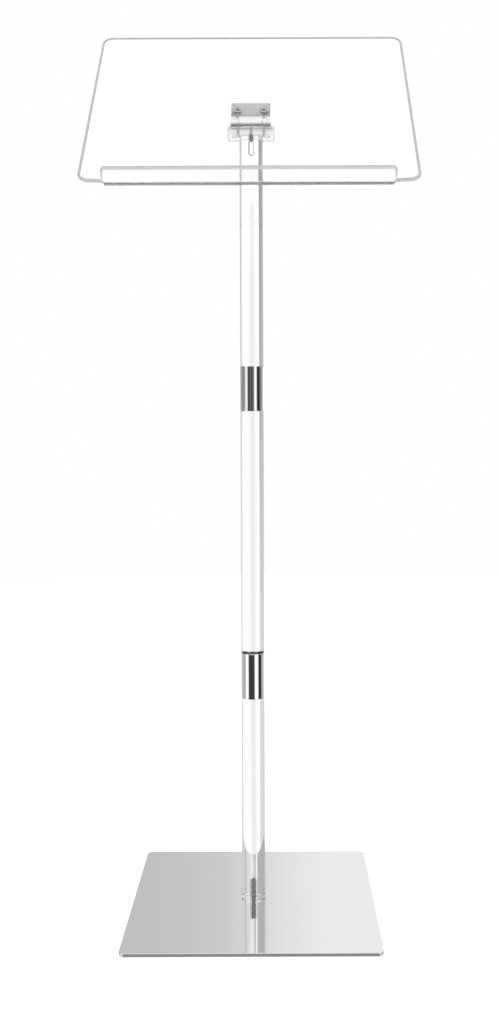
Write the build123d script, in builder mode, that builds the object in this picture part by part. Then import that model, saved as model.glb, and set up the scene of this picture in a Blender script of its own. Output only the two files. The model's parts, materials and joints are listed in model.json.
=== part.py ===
from build123d import *
import math
import os

# Free-standing acrylic lectern: mirror steel base, clear rod post in three
# lengths joined by chrome sleeves, and a tilting clear reading panel.
# +Z is up and +Y points away from the reader, who stands on the -Y side.
# The origin is on the floor, on the post's axis.

os.makedirs("parts", exist_ok=True)

# ---------------------------------------------------------------- dimensions
base_side = 305.0
base_thick = 4.0
base_corner_r = 8.0
base_top_chamfer = 0.4
base_bottom_chamfer = 0.3
foot_thick = 1.5
foot_dia = 22.0
foot_inset = 24.0         # foot centre from the base's edge
foot_fillet = 0.4

rod_dia = 30.0
rod_end_chamfer = 0.3     # at the base and at the top block
shoulder_chamfer = 0.2    # where the rod meets a sleeve
sleeve_dia = 30.4
sleeve_wall = 2.0
sleeve_len = 57.0
sleeve_chamfer = 0.35
spigot_gap = 0.4          # air gap between rod ends inside a sleeve
spigot_clear = 0.1        # radial
spigot_chamfer = 0.5
lower_len = 255.4         # visible length of the lower rod
middle_len = 307.8
upper_len = 289.5

# studs across the rod joints
stud_dia = 8.0
stud_len = 38.0
stud_chamfer = 0.8
stud_hole_clear = 0.05    # radial
stud_hole_extra = 2.0     # hole depth beyond the stud's end
stud_hole_cone = 2.0      # length of the cone at the hole's end

block_x = 60.0
block_y = 35.0
block_z = 12.7
block_corner_r = 3.0
block_bevel = 2.0
block_bottom_chamfer = 0.4

# countersunk screws; the head sizes are nominal
m6_dia = 6.0
m6_head = 12.0
m6_head_h = 3.3
m5_dia = 5.0
m5_head = 9.8
m5_head_h = 2.6
m4_dia = 4.0
m4_head = 7.8
m4_head_h = 2.1
head_clear = 0.1          # radial, taken off the head
thread_clear = 0.05       # radial, in tapped holes
cut_over = 1.0            # how far a cutting shape runs past a face

base_screw_in_rod = 25.0
base_hole_depth = 27.0
base_hole_cone = 1.5
base_screw_clear = 0.2    # radial, in the base plate
base_socket = 4.0         # hex socket across flats
base_socket_depth = 2.2

m5_socket = 3.0
m5_socket_depth = 1.8
block_screw_len = 18.0
block_screw_clear = 0.15
block_screw_sink = 0.1    # head below the block's top
block_hole_depth = 24.0
block_hole_cone = 1.4

leaf_screw_len = 12.0
leaf_screw_clear = 0.2
leaf_screw_sink = 0.1
leaf_screw_head_h = m4_head_h - 0.2
leaf_tap_extra = 1.2      # tapped depth beyond the screw's end
leaf_socket = 2.5
leaf_socket_depth = 1.3

panel_screw_len = 14.0
panel_screw_clear = 0.2
panel_screw_sink = 0.05
gasket_hole_clear = 0.3
washer_r = 5.0
washer_t = 1.0
washer_clear = 0.15
nut_flats = 8.0
nut_round_r = 4.35        # circle that trims the nut's corners
nut_t = 4.0

# hinge
pin_y = -24.0
pin_dia = 5.0
pin_overhang = 0.3        # past each end of the barrel
pin_fillet = 0.5
knuckle_r = 5.5
knuckle_gap = 0.3
centre_half = 14.7        # half length of the centre knuckle
bush_r = 3.5
bush_clear = 0.05         # bush on pin, radial
bore_clear = 0.01         # knuckle bores, radial
leaf_w = 50.0
leaf_t = 2.0
leaf_corner = 1.2
leaf_cutback = 7.6        # lower leaf's middle edge, behind the pin axis
leaf_hole_back = 23.0     # lower leaf's holes, behind the pin axis
hole_dx = 16.5            # half spacing of both pairs of leaf holes

# Reading panel, measured in the hinge's tilted frame:
# s runs up the slope from the pin axis, m is the height off the slope.
tilt = 48.5
leaf_m0 = 4.0             # back face of the upper leaf
leaf_m1 = leaf_m0 + leaf_t
upper_leaf_s0 = 6.4
upper_leaf_s1 = 35.0
panel_hole_s = 16.5
gasket_t = 1.0
gasket_inset = 0.5        # all round, from the leaf's edge
gasket_corner = 1.5
panel_t = 5.0
panel_m0 = leaf_m1 + gasket_t
panel_m1 = panel_m0 + panel_t
panel_w = 406.0
panel_s0 = -130.5
panel_s1 = 194.5
panel_corner = 15.0

ledge_w = 344.0
ledge_s = -140.0          # outer face of the ledge
ledge_h = 29.0            # overall height from the panel's back face
ledge_overlap = 8.0       # how far the tongue runs into the panel
ledge_bend_r = 7.5        # outside bend radius
ledge_corner = 6.0
relief_r = 6.0
relief_in = 2.5           # depth of the notch into the tongue's side
relief_start = 9.0        # cutter start, outside the sheet's mid surface
relief_cut = 13.5         # cutter length

# ------------------------------------------------------------ derived places
base_top = foot_thick + base_thick
z_low_a = base_top + lower_len            # bottom of lower sleeve
z_low_b = z_low_a + sleeve_len            # top of lower sleeve
z_up_a = z_low_b + middle_len             # bottom of upper sleeve
z_up_b = z_up_a + sleeve_len              # top of upper sleeve
z_rod_top = z_up_b + upper_len
z_block_top = z_rod_top + block_z
low_mid = (z_low_a + z_low_b) / 2
up_mid = (z_up_a + z_up_b) / 2

rod_r = rod_dia / 2
sleeve_r = sleeve_dia / 2
spigot_r = sleeve_r - sleeve_wall - spigot_clear
stud_hole_r = stud_dia / 2 + stud_hole_clear
stud_hole_end = stud_len / 2 + stud_hole_extra    # from the joint's middle

pin_z = z_block_top
outer_half = leaf_w / 2
outer_start = centre_half + knuckle_gap           # inner end of an outer knuckle
upper_leaf_len = upper_leaf_s1 - upper_leaf_s0
upper_leaf_mid = (upper_leaf_s0 + upper_leaf_s1) / 2
leaf_hole_y = pin_y + leaf_hole_back
leaf_holes = [(-hole_dx, leaf_hole_y), (hole_dx, leaf_hole_y)]
panel_holes = [(-hole_dx, panel_hole_s), (hole_dx, panel_hole_s)]

tilt_r = math.radians(tilt)
s_vec = Vector(0, math.cos(tilt_r), math.sin(tilt_r))
n_vec = Vector(0, -math.sin(tilt_r), math.cos(tilt_r))
pin_at = Vector(0, pin_y, pin_z)


# ------------------------------------------------------------------- helpers
def slope_at(m):
    """Plane parallel to the panel: local x = X, y = s, normal = m."""
    return Plane(origin=pin_at, x_dir=(1, 0, 0), z_dir=n_vec).offset(m)


def tilted_side(x):
    """Plane across the pin at x: local x = s, y = m, normal = +X."""
    return Plane(origin=pin_at + Vector(x, 0, 0), x_dir=s_vec, z_dir=(1, 0, 0))


def level_side(x):
    """Plane across the pin at x: local x = Y, y = Z, normal = +X."""
    return Plane(origin=(x, pin_y, pin_z), x_dir=(0, 1, 0), z_dir=(1, 0, 0))


# Planes through the panel screws' axes: local x = X, y = m
panel_screw_planes = [
    Plane(
        origin=pin_at + s_vec * panel_hole_s + Vector(x, 0, 0),
        x_dir=(1, 0, 0),
        z_dir=-s_vec,
    )
    for x in (-hole_dx, hole_dx)
]


def is_parallel(edge, direction):
    return abs(abs(edge.tangent_at(0.5).dot(direction)) - 1) < 1e-3


def hex_radius(across_flats):
    return across_flats / 2 / math.cos(math.pi / 6)


def screw_profile(head_r, head_h, shank_r, length, start, direction, axis_x=0):
    """Half profile of a countersunk screw, from its head's face at start."""
    profile = [
        (0, 0),
        (head_r - 0.15, 0),
        (head_r, 0.25),
        (shank_r, head_h),
        (shank_r, length - 0.6),
        (shank_r - 0.6, length),
        (0, length),
    ]
    return [(axis_x + radius, start + direction * along) for radius, along in profile]


def m5_hole_profile(radius, bottom, top):
    """Half profile of a through hole for an M5 screw, countersunk at the top."""
    return [
        (0, bottom - cut_over),
        (radius, bottom - cut_over),
        (radius, top - m5_head_h),
        (m5_head / 2 + 0.4, top),
        (0, top),
    ]


def blind_hole_profile(radius, mouth, end, cone):
    """Half profile of a drilled hole that ends in a cone."""
    inward = math.copysign(1, end - mouth)
    return [
        (0, mouth - inward * cut_over),
        (radius, mouth - inward * cut_over),
        (radius, end - inward * cone),
        (0, end),
    ]


def save(builder, name):
    builder.part.label = name
    export_step(builder.part, f"parts/{name}.step")


# ---------------------------------------------------------------------- base
with BuildPart() as base_plate:
    with BuildSketch(Plane.XY.offset(foot_thick)):
        RectangleRounded(base_side, base_side, base_corner_r)
    extrude(amount=base_thick)
    chamfer(base_plate.faces().sort_by(Axis.Z)[-1].edges(), base_top_chamfer)
    chamfer(base_plate.faces().sort_by(Axis.Z)[0].edges(), base_bottom_chamfer)
    # clearance hole with a countersink on the underside
    base_hole_r = m6_dia / 2 + base_screw_clear
    countersink_top = foot_thick + m6_head_h + 0.1
    with BuildSketch(Plane.XY.offset(foot_thick)):
        Circle(base_hole_r)
    extrude(amount=base_thick, mode=Mode.SUBTRACT)
    with BuildSketch(Plane.XZ):
        with BuildLine():
            Polyline(
                (0, foot_thick),
                (m6_head / 2 + 0.35, foot_thick),
                (base_hole_r, countersink_top),
                (0, countersink_top),
                close=True,
            )
        make_face()
    revolve(axis=Axis.Z, mode=Mode.SUBTRACT)
save(base_plate, "base_plate")

with BuildPart() as base_feet:
    foot_pitch = base_side - 2 * foot_inset
    with BuildSketch(Plane.XY):
        with GridLocations(foot_pitch, foot_pitch, 2, 2):
            Circle(foot_dia / 2)
    extrude(amount=foot_thick)
    # round the edges on the floor
    fillet(base_feet.faces().filter_by(Axis.Z).sort_by(Axis.Z)[:4].edges(), foot_fillet)
save(base_feet, "base_feet")

# Screw from under the base up into the lower rod
with BuildPart() as base_screw:
    with BuildSketch(Plane.XZ):
        with BuildLine():
            Polyline(
                *screw_profile(
                    head_r=m6_head / 2 - head_clear,
                    head_h=m6_head_h,
                    shank_r=m6_dia / 2,
                    length=base_thick + base_screw_in_rod,
                    start=foot_thick,
                    direction=1,
                ),
                close=True,
            )
        make_face()
    revolve(axis=Axis.Z)
    with BuildSketch(Plane.XY.offset(foot_thick)):
        RegularPolygon(hex_radius(base_socket), 6)
    extrude(amount=base_socket_depth, mode=Mode.SUBTRACT)
save(base_screw, "base_screw")


# ------------------------------------------------------------- acrylic post
# The two end outlines run from the rod's surface to its axis.
# outward is +1 for an upper end and -1 for a lower one.
def plain_end(z, outward):
    return [
        (rod_r, z - outward * rod_end_chamfer),
        (rod_r - rod_end_chamfer, z),
        (0, z),
    ]


def spigot_end(shoulder, joint_mid):
    """Rod end turned down to fit a sleeve and stopping short of its middle."""
    outward = math.copysign(1, joint_mid - shoulder)
    tip = joint_mid - outward * spigot_gap / 2
    return [
        (rod_r, shoulder - outward * shoulder_chamfer),
        (rod_r - shoulder_chamfer, shoulder),
        (spigot_r, shoulder),
        (spigot_r, tip - outward * spigot_chamfer),
        (spigot_r - spigot_chamfer, tip),
        (0, tip),
    ]


def stud_hole(joint_mid, inward):
    end = joint_mid + inward * stud_hole_end
    return blind_hole_profile(stud_hole_r, joint_mid, end, stud_hole_cone)


def make_rod(name, bottom, top, holes):
    with BuildPart() as rod:
        with BuildSketch(Plane.XZ):
            with BuildLine():
                Polyline(*bottom[::-1], *top, close=True)
            make_face()
        revolve(axis=Axis.Z)
        with BuildSketch(Plane.XZ):
            for hole in holes:
                with BuildLine():
                    Polyline(*hole, close=True)
                make_face()
        revolve(axis=Axis.Z, mode=Mode.SUBTRACT)
    save(rod, name)


base_tapping = blind_hole_profile(
    m6_dia / 2 + thread_clear, base_top, base_top + base_hole_depth, base_hole_cone
)
block_tapping = blind_hole_profile(
    m5_dia / 2 + thread_clear, z_rod_top, z_rod_top - block_hole_depth, block_hole_cone
)
make_rod(
    "lower_rod",
    bottom=plain_end(base_top, -1),
    top=spigot_end(z_low_a, low_mid),
    holes=[base_tapping, stud_hole(low_mid, -1)],
)
make_rod(
    "middle_rod",
    bottom=spigot_end(z_low_b, low_mid),
    top=spigot_end(z_up_a, up_mid),
    holes=[stud_hole(low_mid, 1), stud_hole(up_mid, -1)],
)
make_rod(
    "upper_rod",
    bottom=spigot_end(z_up_b, up_mid),
    top=plain_end(z_rod_top, 1),
    holes=[stud_hole(up_mid, 1), block_tapping],
)


# --------------------------------------------------- chrome sleeves and studs
def make_coupling(name, bottom):
    with BuildPart() as coupling:
        with BuildSketch(Plane.XY.offset(bottom)):
            Circle(sleeve_r)
            Circle(sleeve_r - sleeve_wall, mode=Mode.SUBTRACT)
        extrude(amount=sleeve_len)
        chamfer(coupling.edges().filter_by(GeomType.CIRCLE), sleeve_chamfer)
    save(coupling, name)


def make_stud(name, joint_mid):
    with BuildPart() as stud:
        with BuildSketch(Plane.XY.offset(joint_mid - stud_len / 2)):
            Circle(stud_dia / 2)
        extrude(amount=stud_len)
        chamfer(stud.edges().filter_by(GeomType.CIRCLE), stud_chamfer)
    save(stud, name)


make_coupling("lower_coupling", z_low_a)
make_coupling("upper_coupling", z_up_a)
make_stud("lower_joint_stud", low_mid)
make_stud("upper_joint_stud", up_mid)

# ----------------------------------------------------------------- top block
with BuildPart() as top_block:
    with BuildSketch(Plane.XY.offset(z_rod_top)):
        RectangleRounded(block_x, block_y, block_corner_r)
    extrude(amount=block_z)
    chamfer(top_block.faces().sort_by(Axis.Z)[-1].edges(), block_bevel)
    chamfer(top_block.faces().sort_by(Axis.Z)[0].edges(), block_bottom_chamfer)
    # hole for the centre screw
    with BuildSketch(Plane.XZ):
        with BuildLine():
            Polyline(
                *m5_hole_profile(m5_dia / 2 + block_screw_clear, z_rod_top, z_block_top),
                close=True,
            )
        make_face()
    revolve(axis=Axis.Z, mode=Mode.SUBTRACT)
    # tapped holes for the leaf screws
    with BuildSketch(Plane.XY.offset(z_block_top)):
        with Locations(*leaf_holes):
            Circle(m4_dia / 2 + thread_clear)
    extrude(amount=-(leaf_screw_len - leaf_t + leaf_tap_extra), mode=Mode.SUBTRACT)
save(top_block, "top_block")

# Screw from the block's top down into the upper rod
with BuildPart() as block_screw:
    block_screw_top = z_block_top - block_screw_sink
    with BuildSketch(Plane.XZ):
        with BuildLine():
            Polyline(
                *screw_profile(
                    head_r=m5_head / 2 - head_clear,
                    head_h=m5_head_h,
                    shank_r=m5_dia / 2,
                    length=block_screw_len,
                    start=block_screw_top,
                    direction=-1,
                ),
                close=True,
            )
        make_face()
    revolve(axis=Axis.Z)
    with BuildSketch(Plane.XY.offset(block_screw_top)):
        RegularPolygon(hex_radius(m5_socket), 6)
    extrude(amount=-m5_socket_depth, mode=Mode.SUBTRACT)
save(block_screw, "block_screw")

# --------------------------------------------------------------------- hinge
# Lower leaf: a plate lying on the block, with the two outer knuckles round
# the pin. Its middle is cut back for the centre knuckle.
with BuildPart() as hinge_lower_leaf:
    lower_leaf_len = upper_leaf_s1        # both leaves reach equally far from the pin
    with BuildSketch(Plane.XY.offset(pin_z)):
        with Locations((0, pin_y + lower_leaf_len / 2)):
            Rectangle(leaf_w, lower_leaf_len)
        with Locations((0, pin_y + leaf_cutback / 2)):
            Rectangle(2 * outer_start, leaf_cutback, mode=Mode.SUBTRACT)
    extrude(amount=leaf_t)
    fillet(
        hinge_lower_leaf.edges().filter_by(Axis.Z).group_by(Axis.Y)[-1], leaf_corner
    )
    for knuckle_x in (-outer_half, outer_start):
        with BuildSketch(level_side(knuckle_x)):
            Circle(knuckle_r)
        extrude(amount=outer_half - outer_start)
    with BuildSketch(level_side(-outer_half - cut_over)):
        Circle(pin_dia / 2 + bore_clear)
    extrude(amount=leaf_w + 2 * cut_over, mode=Mode.SUBTRACT)
    # countersunk holes for the leaf screws
    with Locations(Plane.XY.offset(pin_z + leaf_t)):
        with Locations(*leaf_holes):
            CounterSinkHole(
                m4_dia / 2 + leaf_screw_clear,
                m4_head / 2 + 0.35,
                depth=leaf_t,
                counter_sink_angle=90,
            )
save(hinge_lower_leaf, "hinge_lower_leaf")

# Screws from the lower leaf into the block: the +X one, then its mirror image
with BuildPart() as leaf_screws:
    leaf_screw_top = pin_z + leaf_t - leaf_screw_sink
    with BuildSketch(Plane.XZ.offset(-leaf_hole_y)):
        with BuildLine():
            Polyline(
                *screw_profile(
                    head_r=m4_head / 2 - head_clear,
                    head_h=leaf_screw_head_h,
                    shank_r=m4_dia / 2,
                    length=leaf_screw_len,
                    start=leaf_screw_top,
                    direction=-1,
                    axis_x=hole_dx,
                ),
                close=True,
            )
        make_face()
    revolve(axis=Axis((hole_dx, leaf_hole_y, 0), (0, 0, 1)))
    with BuildSketch(Plane.XY.offset(leaf_screw_top)):
        with Locations((hole_dx, leaf_hole_y)):
            RegularPolygon(hex_radius(leaf_socket), 6)
    extrude(amount=-leaf_socket_depth, mode=Mode.SUBTRACT)
    mirror(about=Plane.YZ)
save(leaf_screws, "leaf_screws")

with BuildPart() as hinge_pin:
    with BuildSketch(level_side(-outer_half - pin_overhang)):
        Circle(pin_dia / 2)
    extrude(amount=leaf_w + 2 * pin_overhang)
    fillet(hinge_pin.edges().filter_by(GeomType.CIRCLE), pin_fillet)
save(hinge_pin, "hinge_pin")

# Upper leaf: flat plate parallel to the panel, joined by a neck to the
# centre knuckle.
neck_a = math.radians(128)    # where the neck leaves the barrel, from +s towards +m
neck_b = math.radians(38)
neck_root_s = upper_leaf_s0 + 0.5
neck_outline = [              # (s, m)
    (knuckle_r * math.cos(neck_a), knuckle_r * math.sin(neck_a)),
    (-0.6, leaf_m1 - 0.25),
    (1.2, leaf_m1),
    (neck_root_s, leaf_m1),
    (neck_root_s, leaf_m0),
    (5.6, leaf_m0 - 0.1),
    (knuckle_r * math.cos(neck_b), knuckle_r * math.sin(neck_b)),
    (0, 0),
]
with BuildPart() as hinge_upper_leaf:
    with BuildSketch(slope_at(leaf_m0)):
        with Locations((0, upper_leaf_mid)):
            Rectangle(leaf_w, upper_leaf_len)
    extrude(amount=leaf_t)
    # round the two corners farthest up the slope
    fillet(
        hinge_upper_leaf.edges()
        .filter_by(lambda e: is_parallel(e, n_vec))
        .sort_by(lambda e: (e.center() - pin_at).dot(s_vec))[-2:],
        leaf_corner,
    )
    with BuildSketch(tilted_side(-centre_half)):
        Circle(knuckle_r)
        with BuildLine():
            Polyline(*neck_outline, close=True)
        make_face()
    extrude(amount=2 * centre_half)
    with BuildSketch(tilted_side(-centre_half - cut_over)):
        Circle(bush_r + bore_clear)
    extrude(amount=2 * (centre_half + cut_over), mode=Mode.SUBTRACT)
    # clearance holes for the panel screws
    with BuildSketch(slope_at(leaf_m0 - cut_over)):
        with Locations(*panel_holes):
            Circle(m5_dia / 2 + panel_screw_clear)
    extrude(amount=leaf_t + 2 * cut_over, mode=Mode.SUBTRACT)
save(hinge_upper_leaf, "hinge_upper_leaf")

with BuildPart() as hinge_friction_bush:
    with BuildSketch(tilted_side(-centre_half)):
        Circle(bush_r)
        Circle(pin_dia / 2 + bush_clear, mode=Mode.SUBTRACT)
    extrude(amount=2 * centre_half)
save(hinge_friction_bush, "hinge_friction_bush")

# ------------------------------------------------------------- reading panel
with BuildPart() as panel_gasket:
    with BuildSketch(slope_at(leaf_m1)):
        with Locations((0, upper_leaf_mid)):
            RectangleRounded(
                leaf_w - 2 * gasket_inset, upper_leaf_len - 2 * gasket_inset, gasket_corner
            )
        with Locations(*panel_holes):
            Circle(m5_dia / 2 + gasket_hole_clear, mode=Mode.SUBTRACT)
    extrude(amount=gasket_t)
save(panel_gasket, "panel_gasket")

# Ledge in (s, m): the tongue leaves the panel, bends 90 degrees and rises
bend_s = ledge_s + ledge_bend_r
bend_m = panel_m0 + ledge_bend_r
ledge_inner_s = ledge_s + panel_t
lip_top = panel_m0 + ledge_h
tongue_root_s = panel_s0 + ledge_overlap


def mid_bend(radius):
    """Point halfway round the bend, at a radius from its centre."""
    leg = radius * math.sqrt(0.5)
    return (bend_s - leg, bend_m - leg)


with BuildPart() as reading_panel:
    with BuildSketch(slope_at(panel_m0)):
        with Locations((0, (panel_s0 + panel_s1) / 2)):
            RectangleRounded(panel_w, panel_s1 - panel_s0, panel_corner)
    extrude(amount=panel_t)
    # ledge: a tongue of the same sheet, bent up in front of the reading face
    with BuildSketch(tilted_side(-ledge_w / 2)):
        with BuildLine():
            Line((tongue_root_s, panel_m0), (bend_s, panel_m0))
            ThreePointArc((bend_s, panel_m0), mid_bend(ledge_bend_r), (ledge_s, bend_m))
            Polyline(
                (ledge_s, bend_m),
                (ledge_s, lip_top),
                (ledge_inner_s, lip_top),
                (ledge_inner_s, bend_m),
            )
            ThreePointArc(
                (ledge_inner_s, bend_m), mid_bend(ledge_bend_r - panel_t), (bend_s, panel_m1)
            )
            Line((bend_s, panel_m1), (tongue_root_s, panel_m1))
            Line((tongue_root_s, panel_m1), (tongue_root_s, panel_m0))
        make_face()
    extrude(amount=ledge_w)
    # round the lip's two top corners
    fillet(
        reading_panel.edges()
        .filter_by(lambda e: is_parallel(e, s_vec))
        .filter_by(lambda e: abs((e.center() - pin_at).dot(n_vec) - lip_top) < 0.01),
        ledge_corner,
    )
    # shallow relief notches in the tongue's two sides, cut through mid-bend
    sheet_s, sheet_m = mid_bend(ledge_bend_r - panel_t / 2)
    sheet_mid = pin_at + s_vec * sheet_s + n_vec * sheet_m
    bend_out = -(s_vec + n_vec).normalized()
    relief_x = ledge_w / 2 + relief_r - relief_in
    with BuildSketch(
        Plane(origin=sheet_mid + bend_out * relief_start, x_dir=(1, 0, 0), z_dir=-bend_out)
    ):
        with Locations((-relief_x, 0), (relief_x, 0)):
            Circle(relief_r)
    extrude(amount=relief_cut, mode=Mode.SUBTRACT)
    # countersunk holes for the two panel screws
    for plane in panel_screw_planes:
        with BuildSketch(plane):
            with BuildLine():
                Polyline(
                    *m5_hole_profile(m5_dia / 2 + panel_screw_clear, panel_m0, panel_m1),
                    close=True,
                )
            make_face()
        revolve(axis=Axis(plane.origin, n_vec), mode=Mode.SUBTRACT)
save(reading_panel, "reading_panel")

# Screws from the reading face through the gasket and the upper leaf
with BuildPart() as panel_screws:
    panel_screw_top = panel_m1 - panel_screw_sink
    for plane in panel_screw_planes:
        with BuildSketch(plane):
            with BuildLine():
                Polyline(
                    *screw_profile(
                        head_r=m5_head / 2,
                        head_h=m5_head_h,
                        shank_r=m5_dia / 2,
                        length=panel_screw_len,
                        start=panel_screw_top,
                        direction=-1,
                    ),
                    close=True,
                )
            make_face()
        revolve(axis=Axis(plane.origin, n_vec))
    with BuildSketch(slope_at(panel_screw_top)):
        with Locations(*panel_holes):
            RegularPolygon(hex_radius(m5_socket), 6)
    extrude(amount=-m5_socket_depth, mode=Mode.SUBTRACT)
save(panel_screws, "panel_screws")

with BuildPart() as panel_washers:
    with BuildSketch(slope_at(leaf_m0)):
        with Locations(*panel_holes):
            Circle(washer_r)
            Circle(m5_dia / 2 + washer_clear, mode=Mode.SUBTRACT)
    extrude(amount=-washer_t)
save(panel_washers, "panel_washers")

# Hex nuts under the washers, with their corners trimmed to a circle
with BuildPart() as panel_nuts:
    with BuildSketch(slope_at(leaf_m0 - washer_t)):
        with Locations(*panel_holes):
            RegularPolygon(hex_radius(nut_flats), 6)
            Circle(m5_dia / 2 + thread_clear, mode=Mode.SUBTRACT)
    extrude(amount=-nut_t)
    with BuildSketch(slope_at(leaf_m0 - washer_t)):
        with Locations(*panel_holes):
            Circle(nut_round_r)
    extrude(amount=-nut_t, mode=Mode.INTERSECT)
save(panel_nuts, "panel_nuts")
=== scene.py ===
# A clear reading stand. A mirror-steel base plate on four pads carries a clear post of three
# rods, joined end to end by chrome sleeves. A clear block on the post holds a steel hinge, and
# the sloping clear panel on it has its lower edge bent up into a ledge.
# The post stands on the Z axis and +Z is up. The hinge pin runs along X and the ledge side of
# the panel faces -Y, which is the front. Sizes are in millimetres unless a name says otherwise.
import json
import math

import bmesh
import bpy
import numpy as np
from mathutils import Matrix, Vector
from mathutils.geometry import tessellate_polygon


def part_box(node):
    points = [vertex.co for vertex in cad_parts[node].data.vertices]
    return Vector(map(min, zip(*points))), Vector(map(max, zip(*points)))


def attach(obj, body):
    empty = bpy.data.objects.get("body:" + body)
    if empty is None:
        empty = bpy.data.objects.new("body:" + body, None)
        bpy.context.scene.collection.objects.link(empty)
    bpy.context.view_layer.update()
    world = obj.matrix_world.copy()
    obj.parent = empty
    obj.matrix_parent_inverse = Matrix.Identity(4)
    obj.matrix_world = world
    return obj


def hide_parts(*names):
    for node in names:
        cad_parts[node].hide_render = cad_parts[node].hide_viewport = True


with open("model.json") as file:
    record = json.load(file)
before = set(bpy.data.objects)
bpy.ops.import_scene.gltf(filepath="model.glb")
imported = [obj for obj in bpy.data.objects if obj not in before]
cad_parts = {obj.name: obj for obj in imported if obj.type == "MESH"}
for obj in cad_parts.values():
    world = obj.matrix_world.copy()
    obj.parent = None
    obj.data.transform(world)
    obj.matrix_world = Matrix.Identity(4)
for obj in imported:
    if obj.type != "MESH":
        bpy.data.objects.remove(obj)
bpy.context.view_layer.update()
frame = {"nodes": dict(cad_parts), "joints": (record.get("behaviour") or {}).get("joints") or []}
NODES = frame["nodes"]
MM = 0.001
PER_METRE = 1000.0
SIDES = (-1, 1)


def box_mm(node):
    low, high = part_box(node)
    return low * PER_METRE, high * PER_METRE


def points_mm(node):
    return np.array([vert.co for vert in NODES[node].data.vertices], float) * PER_METRE


class LocalFrame:
    """Maps local millimetre points to the product's frame, from an origin and three axes."""

    def __init__(self, origin, first=(1, 0, 0), second=(0, 1, 0), third=(0, 0, 1)):
        self.origin = np.array(origin, float)
        self.axes = np.array([first, second, third], float)

    def __call__(self, points):
        return self.origin + np.asarray(points, float) @ self.axes


WORLD = LocalFrame((0, 0, 0))

# ---------------------------------------------------------------- base and post sizes
BASE_LOW, BASE_HIGH = box_mm("base_plate")
BASE_TOP = BASE_HIGH.z
FOOT_LOW, FOOT_HIGH = box_mm("base_feet")
BLOCK_LOW, BLOCK_HIGH = box_mm("top_block")
LOWER_SLEEVE = box_mm("lower_coupling")
UPPER_SLEEVE = box_mm("upper_coupling")
LOW_A, LOW_B = (corner.z for corner in LOWER_SLEEVE)
UP_A, UP_B = (corner.z for corner in UPPER_SLEEVE)
LOW_MID, UP_MID = (LOW_A + LOW_B) / 2, (UP_A + UP_B) / 2
SLEEVE_R = LOWER_SLEEVE[1].x
SLEEVE_WALL = 2.0
ROD_R = box_mm("lower_rod")[1].x
ROD_TOP = BLOCK_LOW.z
AIR_GAP = 0.06              # visible air film where a clear rod end meets another part
SPIGOT_R = 13.1             # the narrowed rod end inside a sleeve
STUD_HOLE_R = 4.05
STUD_HOLE_DEPTH = 21.0
STUD_HALF_LENGTH = 19.0
POST_SEGMENTS = 224

# ---------------------------------------------------------------- hinge and panel sizes
PIN = np.array(frame["joints"][0]["pos_m"], float) * PER_METRE
KNUCKLE_R = 5.5
HOLE_X = 16.5               # screw holes of leaves and panel, either side of the middle
HOLE_S = 16.5               # panel screw holes, up the slope from the pin
LEAF_HOLE_Y = PIN[1] + 23.0
LEAF_TOP = PIN[2] + 2.0     # upper face of the lower leaf
LEAF_UNDERSIDE = 4.0        # underside of the upper leaf, along the slope's normal

# The slope: s runs across it away from the ledge, towards +Y; m runs along its normal.
panel_face = max((face for face in NODES["reading_panel"].data.polygons if face.normal.z > 0.2),
                 key=lambda face: face.area)
X_AXIS = np.array([1.0, 0.0, 0.0])
NORMAL = np.array([0.0, panel_face.normal.y, panel_face.normal.z])
NORMAL /= np.linalg.norm(NORMAL)
UPHILL = np.array([0.0, NORMAL[2], -NORMAL[1]])
SLOPE = LocalFrame(PIN, X_AXIS, UPHILL, NORMAL)     # (x, s, m)
PIN_AXIS = LocalFrame((0, PIN[1], PIN[2]), (0, 1, 0), (0, 0, 1), (1, 0, 0))

LEAF_HOLES = [LocalFrame((side * HOLE_X, LEAF_HOLE_Y, 0)) for side in SIDES]
PANEL_HOLES = [LocalFrame(PIN + X_AXIS * side * HOLE_X + UPHILL * HOLE_S,
                          X_AXIS, UPHILL, NORMAL) for side in SIDES]

panel_points = points_mm("reading_panel") - PIN
panel_s, panel_m = panel_points @ UPHILL, panel_points @ NORMAL
PANEL_W = 2 * float(panel_points[:, 0].max())
PANEL_T = 5.0
PANEL_M0 = float(panel_m.min())
PANEL_M1 = PANEL_M0 + PANEL_T
PANEL_S0 = -130.5           # lower edge either side of the ledge
PANEL_S1 = float(panel_s.max())
PANEL_CORNER_R = 15.0
LEDGE_W = 344.0
LEDGE_CORNER_R = 6.0

# The ledge as a flat sheet, before it is bent up: lengths follow the mid-thickness.
BEND_R = 7.5                # outer radius
BEND_MID_R = BEND_R - PANEL_T / 2
BEND_LENGTH = BEND_MID_R * math.pi / 2
BEND_START = float(panel_s.min()) + BEND_R
BEND_END = BEND_START - BEND_LENGTH
LIP_END = BEND_END - (float(panel_m.max()) - (PANEL_M0 + BEND_R))
BEND_STEPS = 18
NOTCH_R = 6.0               # the round notch at each end of the bend
NOTCH_OUT = 3.5             # its centre, outside the ledge's end
NOTCH_X, NOTCH_S = LEDGE_W / 2 + NOTCH_OUT, BEND_START - BEND_LENGTH / 2


# ---------------------------------------------------------------- profiles and outlines
def hold_straights(points, offset=0.12, shortest=0.9):
    """Adds a point close to both ends of every long straight, so smooth shading stays true."""
    out = [points[0]]
    for start, end in zip(points[:-1], points[1:]):
        length = np.linalg.norm(end - start)
        if length > shortest:
            along = (end - start) / length
            out += [start + along * offset, end - along * offset]
        out.append(end)
    return out


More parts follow.
